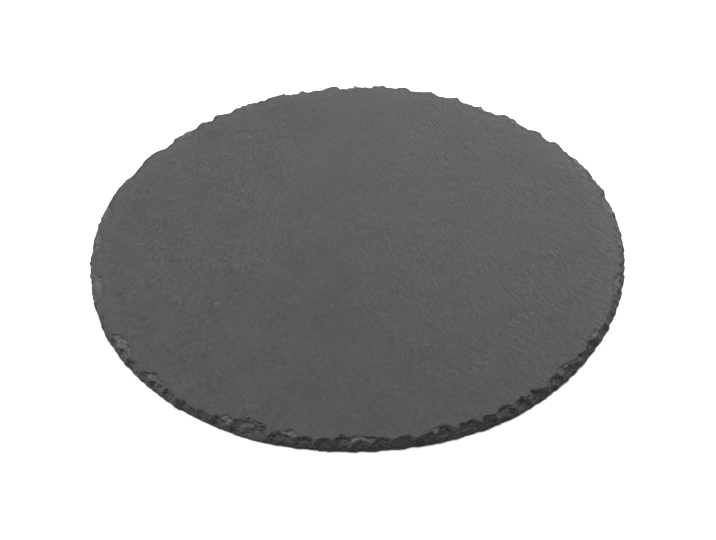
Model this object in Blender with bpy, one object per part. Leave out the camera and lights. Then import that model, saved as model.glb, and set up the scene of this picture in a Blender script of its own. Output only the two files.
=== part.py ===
"""Round slate slab with a knapped edge, in metres, +Z up.

One piece of cleaved slate, trimmed round and then chipped all round its upper edge.
It lies with its underside at Z = 0 and the middle of its box on the Z axis.
"""

import math
import random
from typing import NamedTuple

import bmesh
import bpy
from mathutils import Matrix, Vector, noise

MM = 0.001

SLAB_RADIUS = 150.0 * MM
SLAB_THICKNESS = 5.5 * MM

# The round outline is trimmed by hand: waves round the rim as (lobes, height, angle of a crest).
# Angles run anticlockwise from +X, seen from above, so -90 is the front.
OUTLINE_WAVES = (
    (4, 0.18 * MM, math.radians(12)),
    (5, 0.55 * MM, math.radians(17)),
    (8, 0.22 * MM, math.radians(-18)),
)
RIM_SEGMENTS = 240

# The dressed wall, from the underside up: (height, how far it stands in from the outline, roughness).
RIM_PROFILE = (
    (0.0 * MM, 0.25 * MM, 0.10 * MM),
    (1.0 * MM, 0.00 * MM, 0.20 * MM),
    (3.2 * MM, 0.80 * MM, 0.50 * MM),
    (SLAB_THICKNESS, 1.90 * MM, 0.70 * MM),
)
RIM_ROUGHNESS_SIZE = 5.0 * MM

# Flakes struck off the upper edge, as (angle in degrees, width, reach): first those along the front.
FRONT_FLAKES = (
    (-160.5, 16.0 * MM, 2.8 * MM),
    (-154.5, 10.0 * MM, 2.6 * MM),
    (-150.8, 8.5 * MM, 3.4 * MM),
    (-147.3, 8.5 * MM, 4.2 * MM),
    (-143.0, 9.5 * MM, 4.2 * MM),
    (-138.8, 9.0 * MM, 3.4 * MM),
    (-135.3, 9.5 * MM, 3.8 * MM),
    (-131.4, 9.5 * MM, 3.6 * MM),
    (-127.3, 9.5 * MM, 3.0 * MM),
    (-122.8, 10.0 * MM, 3.6 * MM),
    (-118.8, 9.0 * MM, 4.8 * MM),
    (-112.3, 18.0 * MM, 9.2 * MM),
    (-105.4, 14.0 * MM, 4.6 * MM),
    (-101.0, 10.0 * MM, 4.9 * MM),
    (-97.2, 9.5 * MM, 3.9 * MM),
    (-93.8, 9.0 * MM, 6.4 * MM),
    (-90.2, 10.0 * MM, 3.8 * MM),
    (-86.0, 10.0 * MM, 4.7 * MM),
    (-81.6, 10.5 * MM, 4.1 * MM),
    (-77.4, 9.5 * MM, 4.3 * MM),
    (-73.6, 9.0 * MM, 6.6 * MM),
    (-68.8, 12.0 * MM, 5.6 * MM),
    (-64.6, 9.0 * MM, 4.8 * MM),
    (-60.4, 10.0 * MM, 6.1 * MM),
    (-56.2, 9.5 * MM, 5.7 * MM),
    (-52.2, 10.0 * MM, 5.8 * MM),
    (-47.4, 10.5 * MM, 5.0 * MM),
    (-42.4, 11.0 * MM, 4.8 * MM),
    (-37.6, 10.0 * MM, 3.8 * MM),
    (-33.8, 9.0 * MM, 4.8 * MM),
    (-29.4, 10.0 * MM, 3.0 * MM),
    (-25.0, 10.0 * MM, 2.8 * MM),
)
# Those along the back, whose ends make its ragged skyline.
BACK_FLAKES = (
    (12.5, 19.0 * MM, 3.6 * MM),
    (20.5, 14.0 * MM, 3.4 * MM),
    (31.2, 18.0 * MM, 3.6 * MM),
    (38.0, 14.0 * MM, 4.4 * MM),
    (44.6, 16.0 * MM, 5.2 * MM),
    (54.6, 18.0 * MM, 5.2 * MM),
    (60.6, 15.0 * MM, 4.8 * MM),
    (67.6, 15.0 * MM, 4.2 * MM),
    (74.2, 14.0 * MM, 4.1 * MM),
    (80.5, 12.5 * MM, 3.4 * MM),
    (87.0, 14.0 * MM, 3.9 * MM),
    (92.2, 11.0 * MM, 4.6 * MM),
    (97.4, 9.5 * MM, 4.0 * MM),
    (100.6, 9.0 * MM, 5.2 * MM),
    (104.8, 11.0 * MM, 4.5 * MM),
    (112.8, 12.5 * MM, 3.4 * MM),
    (118.0, 9.5 * MM, 3.1 * MM),
    (122.0, 11.0 * MM, 4.3 * MM),
    (127.2, 10.0 * MM, 3.8 * MM),
    (132.0, 11.5 * MM, 3.8 * MM),
    (140.4, 19.0 * MM, 4.3 * MM),
    (151.4, 22.0 * MM, 3.8 * MM),
    (165.6, 18.0 * MM, 3.0 * MM),
)
# At the two sides the flakes are small and follow a rule, from one angle to the next.
SIDE_STRETCHES = ((-22.5, 9.5), (169.0, 197.0))
SIDE_FLAKE_WIDTH = (8.0 * MM, 12.0 * MM)
SIDE_FLAKE_REACH = (2.2 * MM, 3.4 * MM)
SIDE_PITCH_SHARE = 0.78

# A flake's scar: a steep step down from the top face, then a floor that falls away to a lip at the rim.
FLAKE_STEP = (0.8 * MM, 1.5 * MM)
FLAKE_LIP = (1.2 * MM, 2.4 * MM)
FLAKE_POINTS = 16
# The floor is this much of the scar's size at the top face, so a low share is a slanting step.
FLAKE_FLOOR_SHARE = 0.80
SCAR_OVERHANG = 1.6 * MM
# The width is taken at the top face, and the scar is this much wider out beyond the rim.
RIM_WIDENING = 1.25
# No two scars are alike: their outlines wander, and the blow came in at a slant.
JITTER = 0.13
SLANT = 0.35

# A second, deeper flake has come off inside each scar, nearer the rim.
INNER_WIDTH_SHARE = (0.45, 0.75)
INNER_REACH_SHARE = (0.35, 0.62)
INNER_STEP = (2.2 * MM, 3.0 * MM)
INNER_LIP = (0.4 * MM, 1.0 * MM)
INNER_POINTS = 12
INNER_OFFSET_SHARE = 0.25

# Here and there a thin skin has spalled off the top face behind the flakes, and left a shallow ledge.
SPALL_COUNT = 24
SPALL_WIDTH = (12.0 * MM, 24.0 * MM)
SPALL_REACH = (4.5 * MM, 7.5 * MM)
SPALL_STEP = (0.25 * MM, 0.45 * MM)
SPALL_FALL = 0.5 * MM
SPALL_POINTS = 16
SPALL_FLOOR_SHARE = 0.96
SPALL_WANDER = 0.35

CUTTER_CLEARANCE = 0.5 * MM
SEED = 11

SLATE_COLOUR = (0.105, 0.104, 0.110, 1.0)
SLATE_ROUGHNESS = 0.62


def start_clean():
    for old in list(bpy.data.objects):
        bpy.data.objects.remove(old)


def new_collection(name):
    collection = bpy.data.collections.new(name)
    bpy.context.scene.collection.children.link(collection)
    return collection


def add_mesh_object(name, shape, collection):
    """Makes an object from a bmesh and frees the bmesh."""
    mesh = bpy.data.meshes.new(name)
    shape.to_mesh(mesh)
    shape.free()
    made = bpy.data.objects.new(name, mesh)
    collection.objects.link(made)
    return made


def outline_radius(angle):
    """Radius of the trimmed outline at an angle round the slab."""
    waves = sum(height * math.cos(lobes * (angle - crest)) for lobes, height, crest in OUTLINE_WAVES)
    return SLAB_RADIUS + waves


def trimmed_blank(collection):
    """The cleaved plate before knapping: flat faces, and a rough wall dressed back towards the top."""
    shape = bmesh.new()
    bmesh.ops.create_cone(shape, cap_ends=True, segments=RIM_SEGMENTS, radius1=1, radius2=1, depth=1)
    uprights = [edge for edge in shape.edges if edge.verts[0].co.z * edge.verts[1].co.z < 0]
    bmesh.ops.subdivide_edges(shape, edges=uprights, cuts=len(RIM_PROFILE) - 2)
    for vertex in shape.verts:
        level = round((vertex.co.z + 0.5) * (len(RIM_PROFILE) - 1))
        height, inset, roughness = RIM_PROFILE[level]
        angle = math.atan2(vertex.co.y, vertex.co.x)
        place = Vector((math.cos(angle) * SLAB_RADIUS, math.sin(angle) * SLAB_RADIUS, height))
        radius = outline_radius(angle) - inset + roughness * noise.noise(place / RIM_ROUGHNESS_SIZE)
        vertex.co = Vector((radius * math.cos(angle), radius * math.sin(angle), height))
    return add_mesh_object("slate_slab", shape, collection)


def rim_frame(angle):
    """Axes at the rim: X along the edge, Y outwards, Z up, with the origin on the underside."""
    outward = Vector((math.cos(angle), math.sin(angle), 0))
    place = Matrix.Translation(outward * outline_radius(angle))
    return place @ Matrix.Rotation(angle - math.pi / 2, 4, "Z")


class Scar(NamedTuple):
    """One scar: how far round and in it goes, its step at the back, and its lip's height at the rim."""

    angle: float
    width: float
    reach: float
    step: float
    lip: float
    points: int
    floor_share: float


def scar_cutter(name, scar, rng, collection):
    """A cutter whose lower end is the floor of a scar, and whose flared side is the step round it."""
    shape = bmesh.new()
    bmesh.ops.create_cone(shape, cap_ends=True, segments=scar.points, radius1=1, radius2=1, depth=2)
    jitter = [1 + rng.uniform(-JITTER, JITTER) for _ in range(scar.points)]
    slant = rng.uniform(-SLANT, SLANT)
    top_share = 1 + (1 - scar.floor_share) * CUTTER_CLEARANCE / scar.step
    fall = (SLAB_THICKNESS - scar.step - scar.lip) / scar.reach
    half_width = RIM_WIDENING * scar.width / 2
    depth = scar.reach + SCAR_OVERHANG
    for vertex in shape.verts:
        turn = math.atan2(vertex.co.y, vertex.co.x) % math.tau
        spread = jitter[round(turn / math.tau * scar.points) % scar.points]
        is_floor = vertex.co.z < 0
        spread *= scar.floor_share if is_floor else top_share
        outward = vertex.co.y * spread * depth + SCAR_OVERHANG
        along = vertex.co.x * spread * half_width + slant * outward
        height = scar.lip - outward * fall if is_floor else SLAB_THICKNESS + CUTTER_CLEARANCE
        vertex.co = Vector((along, outward, height))
    bmesh.ops.transform(shape, matrix=rim_frame(scar.angle), verts=shape.verts)
    return add_mesh_object(name, shape, collection)


def side_flakes(rng):
    """Places and sizes of the flakes at the two sides, each overlapping the one before it."""
    flakes = []
    for first, last in SIDE_STRETCHES:
        angle = math.radians(first)
        while angle < math.radians(last):
            width = rng.uniform(*SIDE_FLAKE_WIDTH)
            angle += SIDE_PITCH_SHARE * width / 2 / SLAB_RADIUS
            flakes.append((angle, width, rng.uniform(*SIDE_FLAKE_REACH)))
            angle += SIDE_PITCH_SHARE * width / 2 / SLAB_RADIUS
    return flakes


def flake_scar(angle, width, reach, rng):
    step = rng.uniform(*FLAKE_STEP)
    lip = rng.uniform(*FLAKE_LIP)
    return Scar(angle, width, reach, step, lip, FLAKE_POINTS, FLAKE_FLOOR_SHARE)


def inner_scar(flake, rng):
    """The smaller, deeper scar inside a flake's own."""
    shift = flake.width * rng.uniform(-INNER_OFFSET_SHARE, INNER_OFFSET_SHARE)
    width = flake.width * rng.uniform(*INNER_WIDTH_SHARE)
    reach = flake.reach * rng.uniform(*INNER_REACH_SHARE)
    step = rng.uniform(*INNER_STEP)
    lip = rng.uniform(*INNER_LIP)
    return Scar(flake.angle + shift / SLAB_RADIUS, width, reach, step, lip, INNER_POINTS, FLAKE_FLOOR_SHARE)


def spall_scar(angle, rng):
    """A thin, wide ledge just under the top face."""
    width = rng.uniform(*SPALL_WIDTH)
    reach = rng.uniform(*SPALL_REACH)
    step = rng.uniform(*SPALL_STEP)
    lip = SLAB_THICKNESS - step - SPALL_FALL
    return Scar(angle, width, reach, step, lip, SPALL_POINTS, SPALL_FLOOR_SHARE)


def flake_cutters(rng, collection):
    """Every flake that is knocked off the rim, with the second flake inside its scar."""
    flakes = [(math.radians(angle), width, reach) for angle, width, reach in FRONT_FLAKES + BACK_FLAKES]
    for number, (angle, width, reach) in enumerate(flakes + side_flakes(rng)):
        flake = flake_scar(angle, width, reach, rng)
        scar_cutter(f"flake_{number}", flake, rng, collection)
        scar_cutter(f"inner_flake_{number}", inner_scar(flake, rng), rng, collection)


def spall_cutters(rng, collection):
    """The thin ledges, spread round the rim."""
    for number in range(SPALL_COUNT):
        angle = math.tau * (number + rng.uniform(-SPALL_WANDER, SPALL_WANDER)) / SPALL_COUNT
        scar_cutter(f"spall_{number}", spall_scar(angle, rng), rng, collection)


def centre_on_axis(slab, cutters):
    """Moves the middle of the slab's box onto the Z axis, and the cutters with it."""
    corners = [Vector(corner) for corner in slab.bound_box]
    middle = (corners[0] + corners[6]) / 2
    shift = Matrix.Translation((-middle.x, -middle.y, 0))
    for part in (slab, *cutters.objects):
        part.data.transform(shift)


def hide_cutters(collection):
    collection.hide_render = True
    for cutter in collection.objects:
        cutter.hide_render = True
        cutter.display_type = "WIRE"


def knap(slab, cutters):
    """Takes the flakes off the blank."""
    cut = slab.modifiers.new("knapped edge", "BOOLEAN")
    cut.operation = "DIFFERENCE"
    cut.operand_type = "COLLECTION"
    cut.collection = cutters
    cut.solver = "EXACT"
    cut.use_self = True


def slate_material():
    """Dull blue-grey slate, as it splits."""
    material = bpy.data.materials.new("slate")
    material.use_nodes = True
    surface = material.node_tree.nodes["Principled BSDF"]
    surface.inputs["Base Color"].default_value = SLATE_COLOUR
    surface.inputs["Roughness"].default_value = SLATE_ROUGHNESS
    surface.inputs["Metallic"].default_value = 0.0
    return material


def main():
    start_clean()
    parts = new_collection("slate slab")
    cutters = new_collection("cutters")
    slab = trimmed_blank(parts)
    rng = random.Random(SEED)
    flake_cutters(rng, cutters)
    spall_cutters(rng, cutters)
    centre_on_axis(slab, cutters)
    knap(slab, cutters)
    hide_cutters(cutters)
    slab.data.materials.append(slate_material())


main()
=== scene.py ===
"""Looks of a round slate slab: cleft top face, knapped edge, and a small studio stage.

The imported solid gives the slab's form. A fine skin is cast onto it, a Geometry Nodes tree gives that
skin the ledges and chips of broken slate, and one stone material finishes it.
"""

import math

import bmesh
import bpy
from bpy.props import FloatProperty, FloatVectorProperty, IntProperty, PointerProperty
from mathutils import Matrix, Vector, noise
from mathutils.bvhtree import BVHTree


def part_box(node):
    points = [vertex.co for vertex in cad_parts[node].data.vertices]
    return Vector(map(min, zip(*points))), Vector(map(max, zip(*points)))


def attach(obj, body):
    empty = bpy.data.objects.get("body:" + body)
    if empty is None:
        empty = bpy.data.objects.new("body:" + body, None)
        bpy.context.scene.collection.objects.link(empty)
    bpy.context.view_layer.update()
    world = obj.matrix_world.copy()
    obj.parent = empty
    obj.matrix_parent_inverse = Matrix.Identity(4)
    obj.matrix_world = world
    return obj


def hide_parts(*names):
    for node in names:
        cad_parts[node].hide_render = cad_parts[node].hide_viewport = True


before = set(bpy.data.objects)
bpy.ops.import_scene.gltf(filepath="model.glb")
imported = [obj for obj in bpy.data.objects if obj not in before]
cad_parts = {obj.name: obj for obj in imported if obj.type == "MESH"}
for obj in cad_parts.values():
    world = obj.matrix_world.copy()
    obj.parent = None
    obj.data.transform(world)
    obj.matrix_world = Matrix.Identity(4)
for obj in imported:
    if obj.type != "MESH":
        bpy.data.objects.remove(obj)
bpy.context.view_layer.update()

bl_info = {
    "name": "Knapped slate slab",
    "version": (1, 0, 0),
    "blender": (4, 5, 0),
    "location": "3D View > Sidebar > Slate",
    "description": "Makes a round slate slab with a knapped edge, and a studio stage for it",
    "category": "Object",
}

MM = 0.001
NODE = "slate_slab"
SLAB_LOW, SLAB_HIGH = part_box(NODE)
SLAB_TOP = SLAB_HIGH.z
SLAB_RADIUS = (SLAB_HIGH.x - SLAB_LOW.x) / 2

# Photograph's frame, and its camera worked out from the slab's outline in it.
PHOTO_WIDTH = 716
FOCAL_LENGTH_PIXELS = 1617.2
SENSOR_WIDTH = 36.0
CAMERA_DISTANCE = 0.901
CAMERA_ELEVATION = math.radians(42.88)
CAMERA_ROLL = math.radians(-1.46)
CAMERA_AIM = Vector((0.18 * MM, -16.9 * MM, 0))
CAMERA_CLIP = 0.01


def linear(hex_colour):
    """An sRGB hex colour as linear RGBA."""
    shares = [int(hex_colour[i:i + 2], 16) / 255 for i in (1, 3, 5)]
    return tuple(v / 12.92 if v <= 0.04045 else ((v + 0.055) / 1.055) ** 2.4 for v in shares) + (1.0,)


def add_node(tree, kind, inputs=None, **settings):
    """Adds a node, sets its properties, and fills its inputs from values, sockets or other nodes."""
    made = tree.nodes.new(kind)
    for name, value in settings.items():
        setattr(made, name, value)
    for name, value in (inputs or {}).items():
        named = [socket for socket in made.inputs if socket.enabled and socket.name == name]
        socket = named[0] if named else made.inputs[name]
        if isinstance(value, bpy.types.Node):
            value = next(output for output in value.outputs if output.enabled)
        if isinstance(value, bpy.types.NodeSocket):
            tree.links.new(value, socket)
        else:
            socket.default_value = value
    return made


# The skin

# The rim band and the wall are cast from a fan of rays that spread from a point inside the slab.
RIM_SEGMENTS = 1440
RIM_RINGS = 44
FAN_INSET = 16.0 * MM
FAN_DEPTH = 9.0 * MM
BAND_WIDTH = 12.0 * MM
FOOT_INSET = 0.25 * MM
RAY_LENGTH = 60.0 * MM
# Points of the solid that are this close are one, and its foot is looked for just above the floor.
MERGE_DISTANCE = 0.001 * MM
FOOT_HEIGHT = 0.05 * MM

# Rings from the rim band in to the middle of the top face: (segments, spacing, last radius).
TOP_RINGS = (
    (720, 1.8 * MM, 104.0 * MM),
    (360, 2.6 * MM, 56.0 * MM),
    (180, 4.0 * MM, 28.0 * MM),
    (90, 6.0 * MM, 9.0 * MM),
)
# The same on the underside, from its edge in.
UNDER_RINGS = (
    (720, 2.5 * MM, 138.0 * MM),
    (360, 6.0 * MM, 100.0 * MM),
    (180, 9.0 * MM, 50.0 * MM),
    (90, 12.0 * MM, 18.0 * MM),
)

# The solid's flake scars are seen through a wandering grid, so their edges don't run straight.
WANDER = 0.9 * MM
WANDER_SIZE = 3.2 * MM
WANDER_STEP = 0.3 * MM
# Without a fixed seed, the noise of mathutils starts from the clock.
WANDER_SEED = 3

# The stone counts as broken from this far below the top face down to the underside, which is cleft again
# from this far inside the foot. A band inside its rim is marked for painted light, and its outermost lip
# and, most at the back, the brink of the top face get painted shade.
BROKEN_DEPTH = 0.3 * MM
CLEFT_UNDER = 1.5 * MM
LIT_BAND_FROM, LIT_BAND_TO = 15.0 * MM, 4.0 * MM
LIP_WIDTH = 2.2 * MM
BRINK_DEPTH = 0.4 * MM
BRINK_WIDTH = 3.0 * MM
BRINK_SHARE, BRINK_TO_BACK = 0.65, 0.45

# Faces that meet at more than this are left sharp.
SHARP_ANGLE = math.radians(38)


def merged_solid():
    """A search tree on a copy of the CAD solid, with its loose triangles joined."""
    shape = bmesh.new()
    shape.from_mesh(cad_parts[NODE].data)
    bmesh.ops.remove_doubles(shape, verts=shape.verts, dist=MERGE_DISTANCE)
    tree = BVHTree.FromBMesh(shape)
    shape.free()
    return tree


def outline_radii(solid, count):
    """Radius of the slab's foot at each angle, found by rays towards the middle."""
    radii = []
    for step in range(count):
        angle = math.tau * step / count
        outward = Vector((math.cos(angle), math.sin(angle), 0))
        start = outward * (SLAB_RADIUS + RAY_LENGTH) + Vector((0, 0, FOOT_HEIGHT))
        hit = solid.ray_cast(start, -outward)[0]
        radii.append(Vector((hit.x, hit.y)).length)
    return radii


def cast_profile(solid, angle, foot):
    """Points of the rim's profile at one angle, from the top face out and down to the foot."""
    core = foot - FAN_INSET
    first = math.atan2(FAN_INSET - BAND_WIDTH, SLAB_TOP + FAN_DEPTH)
    last = math.atan2(FAN_INSET - FOOT_INSET, FAN_DEPTH)
    points = []
    for ring in range(RIM_RINGS - 1):
        lean = first + (last - first) * ring / (RIM_RINGS - 1)
        ray = Vector((math.sin(lean), math.cos(lean)))
        spot = Vector((foot * math.cos(angle), foot * math.sin(angle), ring * WANDER_STEP))
        wander = noise.noise_vector(spot / WANDER_SIZE) * WANDER
        seen = angle + wander.x / foot
        outward = Vector((math.cos(seen), math.sin(seen), 0))
        centre = outward * (core + wander.y) - Vector((0, 0, FAN_DEPTH))
        direction = outward * ray.x + Vector((0, 0, ray.y))
        hit = solid.ray_cast(centre + direction * RAY_LENGTH, -direction)[0]
        if hit is None:
            # The ray passes just under the foot.
            hit = outward * (foot + wander.y)
        points.append((Vector((hit.x, hit.y)).length - wander.y, max(hit.z, 0)))
    points.append((foot - FOOT_INSET, 0))
    return [(radius * math.cos(angle), radius * math.sin(angle), height) for radius, height in points]


def ring_points(shape, radii, inset, height, count):
    """A ring of points at a height, inset from the outline."""
    stride = len(radii) // count
    ring = []
    for step in range(count):
        angle = math.tau * step / count
        radius = radii[step * stride] - inset
        ring.append(shape.verts.new((radius * math.cos(angle), radius * math.sin(angle), height)))
    return ring


def join_rings(shape, outer, inner, flip):
    """Faces between two rings, of which the inner may have half as many points."""
    halved = len(outer) == 2 * len(inner)
    count = len(inner)
    for step in range(count):
        here, after = inner[step], inner[(step + 1) % count]
        if halved:
            a, b, c = (outer[(2 * step + k) % len(outer)] for k in range(3))
            faces = ((a, b, here), (b, after, here), (b, c, after))
        else:
            faces = ((outer[step], outer[(step + 1) % count], after, here),)
        for face in faces:
            shape.faces.new(face[::-1] if flip else face)


def fill_disc(shape, edge, radii, plan, first_inset, height, flip):
    """Rings from an edge in to the middle, closed by a fan."""
    inset = first_inset
    ring = edge
    for count, spacing, last_radius in plan:
        while SLAB_RADIUS - inset - spacing > last_radius:
            inset += spacing
            inner = ring_points(shape, radii, inset, height, count)
            join_rings(shape, ring, inner, flip)
            ring = inner
    middle = shape.verts.new((0, 0, height))
    for step, here in enumerate(ring):
        face = (here, ring[(step + 1) % len(ring)], middle)
        shape.faces.new(face[::-1] if flip else face)


def set_values(mesh, name, values):
    """Stores a value from 0 to 1 at each point."""
    made = mesh.attributes.new(name, "FLOAT", "POINT")
    made.data.foreach_set("value", [min(max(value, 0), 1) for value in values])


def cast_skin():
    """The slab's closed skin: fine round the rim, coarser towards the middle."""
    noise.seed_set(WANDER_SEED)
    solid = merged_solid()
    radii = outline_radii(solid, RIM_SEGMENTS)
    shape = bmesh.new()
    profiles = [
        [shape.verts.new(point) for point in cast_profile(solid, math.tau * step / RIM_SEGMENTS, radii[step])]
        for step in range(RIM_SEGMENTS)
    ]
    rings = [[profile[ring] for profile in profiles] for ring in range(RIM_RINGS)]
    brinks = [
        max(point.co.xy.length for point in profile if point.co.z > SLAB_TOP - BRINK_DEPTH)
        for profile in profiles
    ]
    for upper, lower in zip(rings, rings[1:]):
        join_rings(shape, lower, upper, False)
    fill_disc(shape, rings[0], radii, TOP_RINGS, BAND_WIDTH, SLAB_TOP, False)
    fill_disc(shape, rings[-1], radii, UNDER_RINGS, FOOT_INSET, 0, True)
    mesh = bpy.data.meshes.new("knapped_slate")
    shape.to_mesh(mesh)
    shape.free()

    points = [vertex.co for vertex in mesh.vertices]
    steps = [
        round(math.atan2(point.y, point.x) / math.tau * RIM_SEGMENTS) % RIM_SEGMENTS for point in points
    ]
    insets = [radii[step] - point.xy.length for step, point in zip(steps, points)]
    set_values(mesh, "broken", [
        0 if point.z == 0 and inset > CLEFT_UNDER else (SLAB_TOP - point.z) / BROKEN_DEPTH
        for point, inset in zip(points, insets)
    ])
    # Painted shade along the outermost lip and, strongest at the back, along the brink of the top face.
    lips = []
    for point, step, inset in zip(points, steps, insets):
        share = BRINK_SHARE + BRINK_TO_BACK * point.y / SLAB_RADIUS
        gap = abs(brinks[step] - point.xy.length)
        lips.append(max(1 - inset / LIP_WIDTH, share * (1 - gap / BRINK_WIDTH)))
    set_values(mesh, "lip", lips)
    # Painted light goes in this band inside the rim.
    set_values(mesh, "pale", [(LIT_BAND_FROM - inset) / (LIT_BAND_FROM - LIT_BAND_TO) for inset in insets])
    return mesh


# The relief

# Slate splits into thin plates, so its broken edge is a stack of ragged ledges with small chips.
LAYER_THICKNESS = 1.20 * MM
LEDGE_SHARPNESS = 0.8
LEDGE_RAGGEDNESS = 0.50 * MM
CHIP_SIZE, CHIP_DEPTH = 2.1 * MM, 0.50 * MM
CLEFT_RELIEF = 0.20 * MM
RELIEF_SEED = 3
# The tree's inputs: (name, kind, default).
RELIEF_INPUTS = (
    ("Layer thickness", "NodeSocketFloat", LAYER_THICKNESS),
    ("Ledge sharpness", "NodeSocketFloat", LEDGE_SHARPNESS),
    ("Ledge raggedness", "NodeSocketFloat", LEDGE_RAGGEDNESS),
    ("Chip size", "NodeSocketFloat", CHIP_SIZE),
    ("Chip depth", "NodeSocketFloat", CHIP_DEPTH),
    ("Cleft relief", "NodeSocketFloat", CLEFT_RELIEF),
    ("Seed", "NodeSocketInt", RELIEF_SEED),
    ("Material", "NodeSocketMaterial", None),
)
# The seed moves the noise by this much a step.
SEED_SHIFT = 0.37
# The plates' warp as (size, height): one slow, one quick.
LAYER_WARPS = ((14.0 * MM, 1.6 * MM), (3.2 * MM, 1.3 * MM))
# Part of each plate's height over which its riser climbs.
RISER_FROM, RISER_TO = 0.45, 0.85
# Patches where the plates broke one by one, between others that broke clean.
STEPPED_SIZE = 7.0 * MM
STEPPED_FROM, STEPPED_TO = 0.38, 0.58
# Each plate's ragged line: its size, how far its noise drifts from plate to plate, and its reach in and
# out as shares of the raggedness.
LEDGE_SIZE = 3.0 * MM
LEDGE_DRIFT = 5.0 * MM
REACH_IN, REACH_OUT = -1.0, 0.4
# Near the foot the wall was cut straight, so it is less ragged there.
RAGGED_FROM, RAGGED_TO = 1.2 * MM, 2.8 * MM
RAGGED_AT_FOOT = 0.12
# The chips' noise is level with the wall here.
CHIP_LEVEL = 0.45
CLEFT_SIZE = 34.0 * MM


def relief_tree():
    """Geometry Nodes tree that turns the smooth skin into broken and cleft slate."""
    tree = bpy.data.node_groups.new("broken slate relief", "GeometryNodeTree")
    tree.interface.new_socket("Geometry", in_out="INPUT", socket_type="NodeSocketGeometry")
    for name, kind, default in RELIEF_INPUTS:
        socket = tree.interface.new_socket(name, in_out="INPUT", socket_type=kind)
        if default is not None:
            socket.default_value = default
    tree.interface.new_socket("Geometry", in_out="OUTPUT", socket_type="NodeSocketGeometry")
    given = add_node(tree, "NodeGroupInput").outputs
    place = add_node(tree, "GeometryNodeInputPosition")
    normal = add_node(tree, "GeometryNodeInputNormal")
    parts = add_node(tree, "ShaderNodeSeparateXYZ", {0: place})
    facing = add_node(tree, "ShaderNodeSeparateXYZ", {0: normal}).outputs["Z"]
    broken = add_node(tree, "GeometryNodeInputNamedAttribute", {"Name": "broken"}, data_type="FLOAT")
    shift = add_node(tree, "ShaderNodeMath", {0: given["Seed"], 1: SEED_SHIFT}, operation="MULTIPLY")
    shifted = add_node(tree, "ShaderNodeVectorMath", {0: place, 1: shift}, operation="ADD")

    # Which plate of the stack each point is on, with plates that aren't quite level.
    height = parts.outputs["Z"]
    for size, swing in LAYER_WARPS:
        warp = add_node(tree, "ShaderNodeTexNoise", {"Vector": shifted, "Scale": 1 / size, "Detail": 1.0})
        warp = add_node(tree, "ShaderNodeMath", {0: warp, 1: swing}, operation="MULTIPLY")
        height = add_node(tree, "ShaderNodeMath", {0: height, 1: warp}, operation="ADD")
    level = add_node(tree, "ShaderNodeMath", {0: height, 1: given["Layer thickness"]}, operation="DIVIDE")
    plate = add_node(tree, "ShaderNodeMath", {0: level}, operation="FLOOR")
    share = add_node(tree, "ShaderNodeMath", {0: level}, operation="FRACT")

    # Ledges: each plate's broken top is drawn level, with a steep riser to the next.
    riser = add_node(
        tree, "ShaderNodeMapRange", {"Value": share, "From Min": RISER_FROM, "From Max": RISER_TO},
        interpolation_type="SMOOTHSTEP",
    )
    stepped = add_node(
        tree, "ShaderNodeTexNoise", {"Vector": shifted, "Scale": 1 / STEPPED_SIZE, "Detail": 1.0}
    )
    stepped = add_node(
        tree, "ShaderNodeMapRange", {"Value": stepped, "From Min": STEPPED_FROM, "From Max": STEPPED_TO}
    )
    ledge = add_node(tree, "ShaderNodeMath", {0: riser, 1: share}, operation="SUBTRACT")
    for factor in (given["Layer thickness"], given["Ledge sharpness"], broken, stepped):
        ledge = add_node(tree, "ShaderNodeMath", {0: ledge, 1: factor}, operation="MULTIPLY")

    # Each plate ends at its own ragged line, further in or out than the next.
    plate_drift = add_node(tree, "ShaderNodeMath", {0: plate, 1: LEDGE_DRIFT}, operation="MULTIPLY")
    plate_place = add_node(
        tree, "ShaderNodeCombineXYZ", {0: parts.outputs["X"], 1: parts.outputs["Y"], 2: plate_drift}
    )
    ragged = add_node(
        tree, "ShaderNodeTexNoise", {"Vector": plate_place, "Scale": 1 / LEDGE_SIZE, "Detail": 2.0}
    )
    ragged = add_node(
        tree, "ShaderNodeMapRange",
        {"Value": ragged, "From Min": 0.25, "From Max": 0.75, "To Min": REACH_IN, "To Max": REACH_OUT},
    )
    above_foot = add_node(
        tree, "ShaderNodeMapRange",
        {"Value": parts.outputs["Z"], "From Min": RAGGED_FROM, "From Max": RAGGED_TO,
         "To Min": RAGGED_AT_FOOT},
    )
    for factor in (above_foot, given["Ledge raggedness"], broken):
        ragged = add_node(tree, "ShaderNodeMath", {0: ragged, 1: factor}, operation="MULTIPLY")
    level_place = add_node(tree, "ShaderNodeCombineXYZ", {0: parts.outputs["X"], 1: parts.outputs["Y"]})
    outward = add_node(tree, "ShaderNodeVectorMath", {0: level_place}, operation="NORMALIZE")
    ragged = add_node(tree, "ShaderNodeVectorMath", {0: outward, "Scale": ragged}, operation="SCALE")

    # Small shell-shaped chips, as hollows with sharp rims between them.
    chip_scale = add_node(tree, "ShaderNodeMath", {0: 1.0, 1: given["Chip size"]}, operation="DIVIDE")
    chip = add_node(tree, "ShaderNodeTexVoronoi", {"Vector": shifted, "Scale": chip_scale, "Detail": 1.0})
    chip = add_node(tree, "ShaderNodeMath", {0: chip, 1: CHIP_LEVEL}, operation="SUBTRACT")
    for factor in (given["Chip depth"], broken, above_foot):
        chip = add_node(tree, "ShaderNodeMath", {0: chip, 1: factor}, operation="MULTIPLY")
    chip = add_node(tree, "ShaderNodeVectorMath", {0: normal, "Scale": chip}, operation="SCALE")

    # The cleft faces dip a little into the stone, the top face down and the underside up.
    swell = add_node(
        tree, "ShaderNodeTexNoise", {"Vector": shifted, "Scale": 1 / CLEFT_SIZE, "Detail": 3.0}
    )
    swell = add_node(
        tree, "ShaderNodeMapRange",
        {"Value": swell, "From Min": 0.3, "From Max": 0.7, "To Min": -1.0, "To Max": 0.0},
    )
    for factor in (given["Cleft relief"], facing):
        swell = add_node(tree, "ShaderNodeMath", {0: swell, 1: factor}, operation="MULTIPLY")

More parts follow.
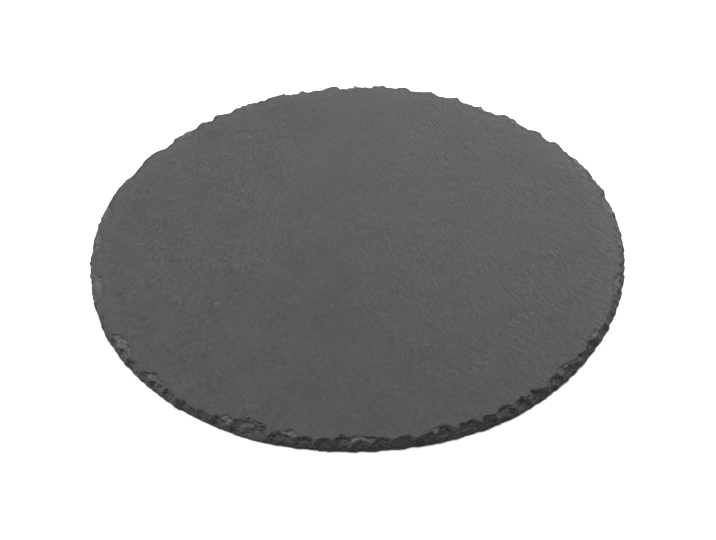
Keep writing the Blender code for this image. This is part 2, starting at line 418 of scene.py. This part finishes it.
    # All of it together, with nothing under the floor.
    lift = add_node(tree, "ShaderNodeMath", {0: ledge, 1: swell}, operation="ADD")
    lift = add_node(tree, "ShaderNodeCombineXYZ", {2: lift})
    moved = add_node(tree, "ShaderNodeVectorMath", {0: ragged, 1: chip}, operation="ADD")
    for added in (lift, place):
        moved = add_node(tree, "ShaderNodeVectorMath", {0: moved, 1: added}, operation="ADD")
    kept_up = add_node(
        tree, "ShaderNodeVectorMath", {0: moved, 1: (-1.0, -1.0, 0.0)}, operation="MAXIMUM"
    )
    shaped = add_node(
        tree, "GeometryNodeSetPosition", {"Geometry": given["Geometry"], "Position": kept_up}
    )

    # The stone's finish, and where its painted glints and painted lip shade go, depend on how steep each
    # place has become.
    steep = add_node(tree, "ShaderNodeMath", {0: 1.0, 1: facing}, operation="SUBTRACT", use_clamp=True)
    marked = add_node(
        tree, "GeometryNodeStoreNamedAttribute", {"Geometry": shaped, "Name": "steep", "Value": steep},
        data_type="FLOAT", domain="POINT",
    )
    realized = add_node(tree, "GeometryNodeRealizeInstances", {"Geometry": marked})
    finished = add_node(
        tree, "GeometryNodeSetMaterial", {"Geometry": realized, "Material": given["Material"]}
    )
    add_node(tree, "NodeGroupOutput", {"Geometry": finished})
    return tree


def apply_relief(mesh, tree, values):
    """Runs the tree on a mesh with these named inputs, and returns the plain mesh that comes out."""
    carrier = bpy.data.objects.new("skin", mesh)
    bpy.context.scene.collection.objects.link(carrier)
    relief = carrier.modifiers.new("relief", "NODES")
    relief.node_group = tree
    for item in tree.interface.items_tree:
        if item.in_out == "INPUT" and item.name in values:
            relief[item.identifier] = values[item.name]
    graph = bpy.context.evaluated_depsgraph_get()
    made = bpy.data.meshes.new_from_object(carrier.evaluated_get(graph))
    bpy.data.objects.remove(carrier)
    return made


# The stone

# Quartz and mica slate, cleft and left unpolished: dull, faintly silky, nearly neutral grey.
STONE_IOR = 1.5
STONE_SPECULAR = 0.2
# It is dullest where it broke across its cleavage.
CLEFT_ROUGHNESS = (0.50, 0.70)
BROKEN_ROUGHNESS = 0.85

# Clouds of slightly greener and more purple stone, more purple to the right by this share a metre.
CLOUD_SIZE = 25.0 * MM
CLOUD_TO_RIGHT = 0.9
# Mottling of the cleavage face.
MOTTLE_SIZE = 6.0 * MM
# Mica flakes and quartz, drawn coarser than real ones, about the least that shows.
GRAIN_SIZE = 1.6 * MM

# The streaks run back to two points behind the slab, one for each side of a line near its middle.
STREAK_LINE = -12.0 * MM
STREAK_BLEND = 1.0 * MM
FOCUS_LEFT, FOCUS_RIGHT = 215.0 * MM, 330.0 * MM
STREAK_WIDTH, STREAK_LENGTH = 1.6 * MM, 5.0 * MM
STREAK_PATCH = 16.0 * MM
WAVE_SIZE, WAVE_HEIGHT = 7.0 * MM, 5.0 * MM
# Their strength by their bearing in radians, to the right and to the left, and by the noise of the patches.
STREAKS_RIGHT = {"From Min": 0.0, "From Max": 0.24, "To Min": 0.45, "To Max": 1.05}
STREAKS_LEFT = {"From Min": -0.05, "From Max": -0.27, "To Max": 0.75}
STREAKS_PATCHY = {"From Min": 0.35, "From Max": 0.65, "To Min": 0.5, "To Max": 1.4}

# How much grain, mottling and clouds lighten the stone, beside the streaks.
GRAIN_TONE, MOTTLE_TONE, CLOUD_TONE = 0.7, 0.8, 0.1
# Painted light: the stone is drawn lighter towards the left, and in a band inside the rim towards the back.
PAINTED_LIGHT_LEFT = {"From Min": 0.0, "From Max": -140 * MM, "To Min": -0.08, "To Max": 0.26}
PAINTED_LIGHT_BACK = {"From Min": -90 * MM, "From Max": -10 * MM, "To Min": 0.06, "To Max": 0.32}
# The sum of the tones, brought to a factor on the colour.
TONE_RANGE = {"From Min": 0.5, "From Max": 1.3, "To Min": 0.68, "To Max": 1.32}

# Pale specks of quartz and pyrite, a few plain and many faint, as (spacing, how rare, how plain).
SPECKS = ((7.0 * MM, 0.86, 0.55), (3.0 * MM, 0.4, 0.14))
# Radius out to which a speck fades, and of its core.
SPECK_FADE, SPECK_CORE = 0.4 * MM, 0.15 * MM

# Rusty and olive plates of the broken edge, some 17 mm long and 0.7 mm thick, and where they fade out.
PLATE_SCALE = (60.0, 60.0, 1400.0)
RUST_TOP, RUST_FULL = 2.8 * MM, 0.8 * MM
# Steepness over which a ledge along the cleavage becomes a break across it.
BREAK_STEEPNESS = {"From Min": 0.02, "From Max": 0.25}
# Grit of the broken face and its light and dark, and painted glints on its ledges: painted highlights in the
# speck colour, standing for fresh mica.
GRIT_SIZE = 1.0 * MM
GRIT_SHADE = {"From Min": 0.3, "From Max": 0.7, "To Min": 0.55, "To Max": 1.45}
GLINT_SIZE = 1.1 * MM
GLINTS = {"From Min": 0.58, "From Max": 0.74, "To Max": 0.18}
# Painted shade: the outermost lip keeps this share of its colour.
PAINTED_LIP_SHADE = 0.6

# Heights of streaks, grain and grit in the bump, as shares of the grain height.
STREAK_RISE, GRAIN_RISE, GRIT_RISE = 2.6, 0.8, 2.4


def streak_layer(tree, place):
    """Wavy streaks that fan out from behind the slab, as a tone above and below zero."""
    waves = add_node(tree, "ShaderNodeTexNoise", {"Vector": place, "Scale": 1 / WAVE_SIZE, "Detail": 1.0})
    waves = add_node(
        tree, "ShaderNodeVectorMath", {0: waves.outputs["Color"], 1: (0.5, 0.5, 0.5)}, operation="SUBTRACT"
    )
    waves = add_node(tree, "ShaderNodeVectorMath", {0: waves, "Scale": WAVE_HEIGHT}, operation="SCALE")
    bent = add_node(tree, "ShaderNodeVectorMath", {0: place, 1: waves}, operation="ADD")
    bent = add_node(tree, "ShaderNodeSeparateXYZ", {0: bent})

    # Each place's bearing from its focus gives the fan.
    sideways = add_node(tree, "ShaderNodeMath", {0: bent.outputs["X"], 1: STREAK_LINE}, operation="SUBTRACT")
    focus = add_node(
        tree, "ShaderNodeMapRange",
        {"Value": sideways, "From Min": -STREAK_BLEND, "From Max": STREAK_BLEND, "To Min": FOCUS_LEFT,
         "To Max": FOCUS_RIGHT},
    )
    back = add_node(tree, "ShaderNodeMath", {0: focus, 1: bent.outputs["Y"]}, operation="SUBTRACT")
    bearing = add_node(tree, "ShaderNodeMath", {0: sideways, 1: back}, operation="ARCTAN2")
    across = add_node(tree, "ShaderNodeMath", {0: bearing, 1: focus}, operation="MULTIPLY")
    across = add_node(tree, "ShaderNodeMath", {0: across, 1: STREAK_WIDTH}, operation="DIVIDE")
    along = add_node(tree, "ShaderNodeMath", {0: bent.outputs["Y"], 1: STREAK_LENGTH}, operation="DIVIDE")
    streak_place = add_node(tree, "ShaderNodeCombineXYZ", {0: across, 1: along})
    streaks = add_node(
        tree, "ShaderNodeTexNoise", {"Vector": streak_place, "Scale": 1.0, "Detail": 1.0, "Roughness": 0.5}
    )

    # They show to the sides, most on the right, and in patches.
    to_right = add_node(tree, "ShaderNodeMapRange", {"Value": bearing, **STREAKS_RIGHT})
    to_left = add_node(tree, "ShaderNodeMapRange", {"Value": bearing, **STREAKS_LEFT})
    patches = add_node(
        tree, "ShaderNodeTexNoise", {"Vector": place, "Scale": 1 / STREAK_PATCH, "Detail": 1.0}
    )
    patches = add_node(tree, "ShaderNodeMapRange", {"Value": patches, **STREAKS_PATCHY})
    strength = add_node(tree, "ShaderNodeMath", {0: to_right, 1: to_left}, operation="ADD")
    strength = add_node(tree, "ShaderNodeMath", {0: strength, 1: patches}, operation="MULTIPLY")
    streaks = add_node(tree, "ShaderNodeMath", {0: streaks, 1: 0.5}, operation="SUBTRACT")
    return add_node(tree, "ShaderNodeMath", {0: streaks, 1: strength}, operation="MULTIPLY")


def add_specks(tree, place, stone, speck_and_glint_colour):
    """The stone's colour with pale specks in it."""
    for spacing, rarity, strength in SPECKS:
        cells = add_node(tree, "ShaderNodeTexVoronoi", {"Vector": place, "Scale": 1 / spacing})
        near = add_node(
            tree, "ShaderNodeMapRange",
            {"Value": cells.outputs["Distance"], "From Min": SPECK_FADE / spacing,
             "From Max": SPECK_CORE / spacing, "To Max": strength},
        )
        chosen = add_node(tree, "ShaderNodeSeparateColor", {0: cells.outputs["Color"]})
        chosen = add_node(tree, "ShaderNodeMath", {0: chosen.outputs[0], 1: rarity}, operation="GREATER_THAN")
        speck = add_node(tree, "ShaderNodeMath", {0: near, 1: chosen}, operation="MULTIPLY")
        stone = add_node(
            tree, "ShaderNodeMix", {"Factor": speck, "A": stone, "B": speck_and_glint_colour}, data_type="RGBA"
        )
    return stone.outputs[2]


def cleft_stone(tree, place, parts, grain, mottle, streaks, settings):
    """Colour of the cleft faces, and the tone that lightens and darkens the stone, with painted light towards
    the left and towards the back.
    """
    clouds = add_node(tree, "ShaderNodeTexNoise", {"Vector": place, "Scale": 1 / CLOUD_SIZE, "Detail": 3.0})
    clouds = add_node(
        tree, "ShaderNodeMath", {0: parts.outputs["X"], 1: CLOUD_TO_RIGHT, 2: clouds},
        operation="MULTIPLY_ADD",
    )
    clouds = add_node(tree, "ShaderNodeMapRange", {"Value": clouds, "From Min": 0.35, "From Max": 0.65})
    stone = add_node(
        tree, "ShaderNodeMix",
        {"Factor": clouds, "A": tuple(settings.green_stone), "B": tuple(settings.purple_stone)},
        data_type="RGBA",
    )
    tone = streaks
    for layer, share in ((grain, GRAIN_TONE), (mottle, MOTTLE_TONE), (clouds, CLOUD_TONE)):
        tone = add_node(tree, "ShaderNodeMath", {0: layer, 1: share, 2: tone}, operation="MULTIPLY_ADD")

    # Painted light: lighter towards the left, a little darker towards the right, and lighter in the band
    # inside the rim towards the back.
    to_left = add_node(tree, "ShaderNodeMapRange", {"Value": parts.outputs["X"], **PAINTED_LIGHT_LEFT})
    tone = add_node(tree, "ShaderNodeMath", {0: tone, 1: to_left}, operation="ADD")
    pale = add_node(tree, "ShaderNodeAttribute", attribute_name="pale").outputs["Fac"]
    to_back = add_node(tree, "ShaderNodeMapRange", {"Value": parts.outputs["Y"], **PAINTED_LIGHT_BACK})
    tone = add_node(tree, "ShaderNodeMath", {0: pale, 1: to_back, 2: tone}, operation="MULTIPLY_ADD")
    tone = add_node(tree, "ShaderNodeMapRange", {"Value": tone, **TONE_RANGE})
    stone = add_node(
        tree, "ShaderNodeVectorMath", {0: stone.outputs[2], "Scale": tone}, operation="SCALE"
    )
    return add_specks(tree, place, stone, tuple(settings.speck_and_glint_colour)), tone


def broken_stone(tree, place, parts, grit, tone, across_grain, settings):
    """Colour of the broken edge: silky along the cleavage, with painted glints there, dull and dark across
    it.
    """
    edge = add_node(
        tree, "ShaderNodeMix",
        {"Factor": across_grain, "A": tuple(settings.ledge_colour), "B": tuple(settings.edge_colour)},
        data_type="RGBA",
    )
    plates = add_node(tree, "ShaderNodeMapping", {"Vector": place, "Scale": PLATE_SCALE})
    plates = add_node(tree, "ShaderNodeTexNoise", {"Vector": plates, "Scale": 1.0, "Detail": 3.0})
    rust = add_node(tree, "ShaderNodeMapRange", {"Value": plates, "From Min": 0.40, "From Max": 0.60})
    low = add_node(
        tree, "ShaderNodeMapRange",
        {"Value": parts.outputs["Z"], "From Min": RUST_TOP, "From Max": RUST_FULL},
    )
    rust = add_node(tree, "ShaderNodeMath", {0: rust, 1: low}, operation="MULTIPLY")
    edge = add_node(
        tree, "ShaderNodeMix", {"Factor": rust, "A": edge.outputs[2], "B": tuple(settings.rust_colour)},
        data_type="RGBA",
    )
    shade = add_node(tree, "ShaderNodeMapRange", {"Value": grit, **GRIT_SHADE})
    shade = add_node(tree, "ShaderNodeMath", {0: shade, 1: tone}, operation="MULTIPLY")
    edge = add_node(tree, "ShaderNodeVectorMath", {0: edge.outputs[2], "Scale": shade}, operation="SCALE")

    # Painted highlights: glints in the speck colour on the ledges along the cleavage.
    glints = add_node(tree, "ShaderNodeTexNoise", {"Vector": place, "Scale": 1 / GLINT_SIZE, "Detail": 1.0})
    glints = add_node(tree, "ShaderNodeMapRange", {"Value": glints, **GLINTS})
    along_grain = add_node(tree, "ShaderNodeMath", {0: 1.0, 1: across_grain}, operation="SUBTRACT")
    glints = add_node(tree, "ShaderNodeMath", {0: glints, 1: along_grain}, operation="MULTIPLY")
    return add_node(
        tree, "ShaderNodeMix", {"Factor": glints, "A": edge, "B": tuple(settings.speck_and_glint_colour)},
        data_type="RGBA",
    ).outputs[2]


def stone_material(settings):
    """Dark grey slate: a matt cleft face with a fine grain that fans out from behind the slab, and a darker,
    rougher broken edge with rusty and olive plates low down. Painted light lightens it to the left and
    towards the back, painted shade darkens its outermost lip, and painted glints mark its ledges."""
    material = bpy.data.materials.new("cleft_slate")
    material.use_nodes = True
    tree = material.node_tree
    tree.nodes.clear()
    place = add_node(tree, "ShaderNodeTexCoord").outputs["Object"]
    parts = add_node(tree, "ShaderNodeSeparateXYZ", {0: place})
    broken, lip, steep = (
        add_node(tree, "ShaderNodeAttribute", attribute_name=name).outputs["Fac"]
        for name in ("broken", "lip", "steep")
    )
    across_grain = add_node(tree, "ShaderNodeMapRange", {"Value": steep, **BREAK_STEEPNESS})
    grain = add_node(
        tree, "ShaderNodeTexNoise",
        {"Vector": place, "Scale": 1 / GRAIN_SIZE, "Detail": 1.0, "Roughness": 0.5},
    )
    mottle = add_node(tree, "ShaderNodeTexNoise", {"Vector": place, "Scale": 1 / MOTTLE_SIZE, "Detail": 3.0})
    grit = add_node(tree, "ShaderNodeTexNoise", {"Vector": place, "Scale": 1 / GRIT_SIZE, "Detail": 2.0})
    streaks = streak_layer(tree, place)
    cleft_colour, tone = cleft_stone(tree, place, parts, grain, mottle, streaks, settings)
    broken_colour = broken_stone(tree, place, parts, grit, tone, across_grain, settings)
    colour = add_node(
        tree, "ShaderNodeMix", {"Factor": broken, "A": cleft_colour, "B": broken_colour}, data_type="RGBA"
    )

    # Painted shade: the outermost lip and the brink of the top face are drawn darker, above the wall.
    level = add_node(tree, "ShaderNodeMath", {0: 1.0, 1: steep}, operation="SUBTRACT")
    lip_shade = add_node(tree, "ShaderNodeMath", {0: lip, 1: level}, operation="MULTIPLY")
    lip_shade = add_node(tree, "ShaderNodeMapRange", {"Value": lip_shade, "To Min": 1.0, "To Max": PAINTED_LIP_SHADE})
    colour = add_node(
        tree, "ShaderNodeVectorMath", {0: colour.outputs[2], "Scale": lip_shade}, operation="SCALE"
    )

    roughness = add_node(
        tree, "ShaderNodeMapRange",
        {"Value": mottle, "To Min": CLEFT_ROUGHNESS[0], "To Max": CLEFT_ROUGHNESS[1]},
    )
    dull = add_node(tree, "ShaderNodeMath", {0: across_grain, 1: broken}, operation="MULTIPLY")
    roughness = add_node(tree, "ShaderNodeMix", {"Factor": dull, "A": roughness, "B": BROKEN_ROUGHNESS})

    grit = add_node(tree, "ShaderNodeMath", {0: grit, 1: broken}, operation="MULTIPLY")
    relief = add_node(tree, "ShaderNodeMath", {0: streaks, 1: STREAK_RISE}, operation="MULTIPLY")
    for layer, rise in ((grain, GRAIN_RISE), (grit, GRIT_RISE)):
        relief = add_node(tree, "ShaderNodeMath", {0: layer, 1: rise, 2: relief}, operation="MULTIPLY_ADD")
    bump = add_node(
        tree, "ShaderNodeBump", {"Height": relief, "Strength": 1.0, "Distance": settings.grain_height}
    )
    surface = add_node(
        tree, "ShaderNodeBsdfPrincipled",
        {"Base Color": colour, "Roughness": roughness, "Normal": bump, "IOR": STONE_IOR,
         "Specular IOR Level": STONE_SPECULAR},
    )
    add_node(tree, "ShaderNodeOutputMaterial", {"Surface": surface})
    return material


# The stage

FLOOR_COLOUR = "#F9F9F8"
FLOOR_ROUGHNESS = 0.9

# Soft boxes: (name, place, size across and up, share of the light).
SOFT_BOXES = (
    ("overhead", Vector((0, 0.3, 2.2)), (3.2, 2.6), 1.0),
    ("back", Vector((0.5, 1.4, 0.7)), (1.8, 0.6), 0.41),
    ("left", Vector((-1.4, 0.5, 0.7)), (1.0, 0.6), 0.34),
    ("right", Vector((1.6, 1.0, 0.7)), (1.0, 0.6), 0.21),
)


def pale_floor(settings):
    """A wide floor of matt white card."""
    half = settings.floor_size / 2
    mesh = bpy.data.meshes.new("floor")
    corners = [(-half, -half, 0), (half, -half, 0), (half, half, 0), (-half, half, 0)]
    mesh.from_pydata(corners, [], [(0, 1, 2, 3)])
    material = bpy.data.materials.new("matt_white_card")
    material.use_nodes = True
    surface = material.node_tree.nodes["Principled BSDF"]
    surface.inputs["Base Color"].default_value = linear(FLOOR_COLOUR)
    surface.inputs["Roughness"].default_value = FLOOR_ROUGHNESS
    surface.inputs["Specular IOR Level"].default_value = 0.0
    mesh.materials.append(material)
    floor = bpy.data.objects.new("floor", mesh)
    bpy.context.scene.collection.objects.link(floor)
    return floor


def add_soft_box(name, place, size, power):
    """A rectangular area light that faces the slab."""
    light = bpy.data.lights.new(name, "AREA")
    light.shape = "RECTANGLE"
    light.size, light.size_y = size
    light.energy = power
    box = bpy.data.objects.new(name, light)
    box.location = place
    box.rotation_euler = (-place).to_track_quat("-Z", "Y").to_euler()
    bpy.context.scene.collection.objects.link(box)


def add_world(strength):
    """Faint even light from all round."""
    world = bpy.data.worlds.new("studio")
    world.use_nodes = True
    background = world.node_tree.nodes["Background"]
    background.inputs["Color"].default_value = (1, 1, 1, 1)
    background.inputs["Strength"].default_value = strength
    bpy.context.scene.world = world


def add_camera():
    """The photograph's viewpoint, with its slight lean."""
    camera = bpy.data.cameras.new("camera")
    camera.sensor_width = SENSOR_WIDTH
    camera.lens = FOCAL_LENGTH_PIXELS * SENSOR_WIDTH / PHOTO_WIDTH
    camera.clip_start = CAMERA_CLIP
    back = Vector((0, -math.cos(CAMERA_ELEVATION), math.sin(CAMERA_ELEVATION)))
    turn = back.to_track_quat("Z", "Y").to_matrix().to_4x4() @ Matrix.Rotation(CAMERA_ROLL, 4, "Z")
    viewer = bpy.data.objects.new("camera", camera)
    viewer.matrix_world = Matrix.Translation(CAMERA_AIM + back * CAMERA_DISTANCE) @ turn
    bpy.context.scene.collection.objects.link(viewer)
    bpy.context.scene.camera = viewer


# What a user sets

class SlateSlabSettings(bpy.types.PropertyGroup):
    """Sizes and colours of the slate slab."""

    layer_thickness: FloatProperty(
        name="Plate thickness", description="Thickness of the plates that show in the broken edge",
        default=LAYER_THICKNESS, unit="LENGTH",
    )
    ledge_raggedness: FloatProperty(
        name="Ledge raggedness", description="How far each plate's end wanders in and out",
        default=LEDGE_RAGGEDNESS, unit="LENGTH",
    )
    chip_size: FloatProperty(
        name="Chip size", description="Size of the small chips in the broken edge",
        default=CHIP_SIZE, unit="LENGTH",
    )
    chip_depth: FloatProperty(
        name="Chip depth", description="Depth of the small chips", default=CHIP_DEPTH, unit="LENGTH",
    )
    cleft_relief: FloatProperty(
        name="Cleft relief", description="Depth of the slow dips in the cleft faces",
        default=CLEFT_RELIEF, unit="LENGTH",
    )
    grain_height: FloatProperty(
        name="Grain height", description="Height of the fine grain of the stone",
        default=0.13 * MM, unit="LENGTH",
    )
    seed: IntProperty(name="Seed", description="Changes every chip and ledge", default=RELIEF_SEED)
    green_stone: FloatVectorProperty(
        name="Green-grey stone", description="The stone's colour in its greener clouds",
        subtype="COLOR", size=4, min=0, max=1, default=linear("#2E2E30"),
    )
    purple_stone: FloatVectorProperty(
        name="Purple-grey stone", description="The stone's colour in its more purple clouds",
        subtype="COLOR", size=4, min=0, max=1, default=linear("#312E31"),
    )
    ledge_colour: FloatVectorProperty(
        name="Fresh ledges", description="Colour of the ledges along the cleavage in the broken edge",
        subtype="COLOR", size=4, min=0, max=1, default=linear("#3B393B"),
    )
    edge_colour: FloatVectorProperty(
        name="Broken edge", description="Colour of the stone broken across its cleavage",
        subtype="COLOR", size=4, min=0, max=1, default=linear("#3C3A3B"),
    )
    rust_colour: FloatVectorProperty(
        name="Rusty plates", description="Colour of the brown and olive plates low in the edge",
        subtype="COLOR", size=4, min=0, max=1, default=linear("#44382C"),
    )
    # Also the colour of the painted glints on the ledges.
    speck_and_glint_colour: FloatVectorProperty(
        name="Specks", description="Colour of the pale mineral specks",
        subtype="COLOR", size=4, min=0, max=1, default=linear("#9A9A9C"),
    )


class StageSettings(bpy.types.PropertyGroup):
    """Size and light of the studio stage."""

    floor_size: FloatProperty(
        name="Floor size", description="Width of the floor", default=8.0, unit="LENGTH",
    )
    light_power: FloatProperty(
        name="Light power", description="Power of the overhead soft box, in watts", default=75.0,
    )
    world_strength: FloatProperty(
        name="Surround", description="Strength of the even light from all round", default=0.12,
    )


class SLATE_OT_make_slab(bpy.types.Operator):
    """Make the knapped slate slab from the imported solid"""

    bl_idname = "slate.make_slab"
    bl_label = "Make slate slab"

    def execute(self, context):
        settings = context.scene.slate_slab
        stone = stone_material(settings)
        values = {
            "Layer thickness": settings.layer_thickness,
            "Ledge raggedness": settings.ledge_raggedness,
            "Chip size": settings.chip_size,
            "Chip depth": settings.chip_depth,
            "Cleft relief": settings.cleft_relief,
            "Seed": settings.seed,
            "Material": stone,
        }
        mesh = apply_relief(cast_skin(), relief_tree(), values)
        mesh.name = "knapped_slate"
        mesh.shade_smooth()
        mesh.set_sharp_from_angle(angle=SHARP_ANGLE)
        slab = bpy.data.objects.new("knapped_slate", mesh)
        context.scene.collection.objects.link(slab)
        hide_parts(NODE)
        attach(slab, "root")
        return {"FINISHED"}


class SLATE_OT_make_stage(bpy.types.Operator):
    """Make the pale floor, the soft boxes and the camera"""

    bl_idname = "slate.make_stage"
    bl_label = "Make stage"

    def execute(self, context):
        settings = context.scene.slate_stage
        pale_floor(settings)
        for name, place, size, share in SOFT_BOXES:
            add_soft_box(name, place, size, share * settings.light_power)
        add_world(settings.world_strength)
        add_camera()
        context.scene.view_settings.view_transform = "Standard"
        return {"FINISHED"}


class SLATE_PT_panel(bpy.types.Panel):
    """Lists the slab's and the stage's settings and the operators that make them"""

    bl_label = "Slate slab"
    bl_space_type = "VIEW_3D"
    bl_region_type = "UI"
    bl_category = "Slate"

    def draw(self, context):
        for settings, operator in (
            (context.scene.slate_slab, SLATE_OT_make_slab),
            (context.scene.slate_stage, SLATE_OT_make_stage),
        ):
            column = self.layout.column()
            for name in settings.__annotations__:
                column.prop(settings, name)
            column.operator(operator.bl_idname)


CLASSES = (SlateSlabSettings, StageSettings, SLATE_OT_make_slab, SLATE_OT_make_stage, SLATE_PT_panel)


def register():
    """Adds the classes and the scene's settings."""
    for made in CLASSES:
        bpy.utils.register_class(made)
    bpy.types.Scene.slate_slab = PointerProperty(type=SlateSlabSettings)
    bpy.types.Scene.slate_stage = PointerProperty(type=StageSettings)


def unregister():
    """Takes the settings and the classes away again."""
    del bpy.types.Scene.slate_slab
    del bpy.types.Scene.slate_stage
    for made in reversed(CLASSES):
        bpy.utils.unregister_class(made)


def main():
    """Makes the slab and the stage."""
    register()
    bpy.ops.slate.make_slab()
    bpy.ops.slate.make_stage()


if __name__ == "__main__":
    main()
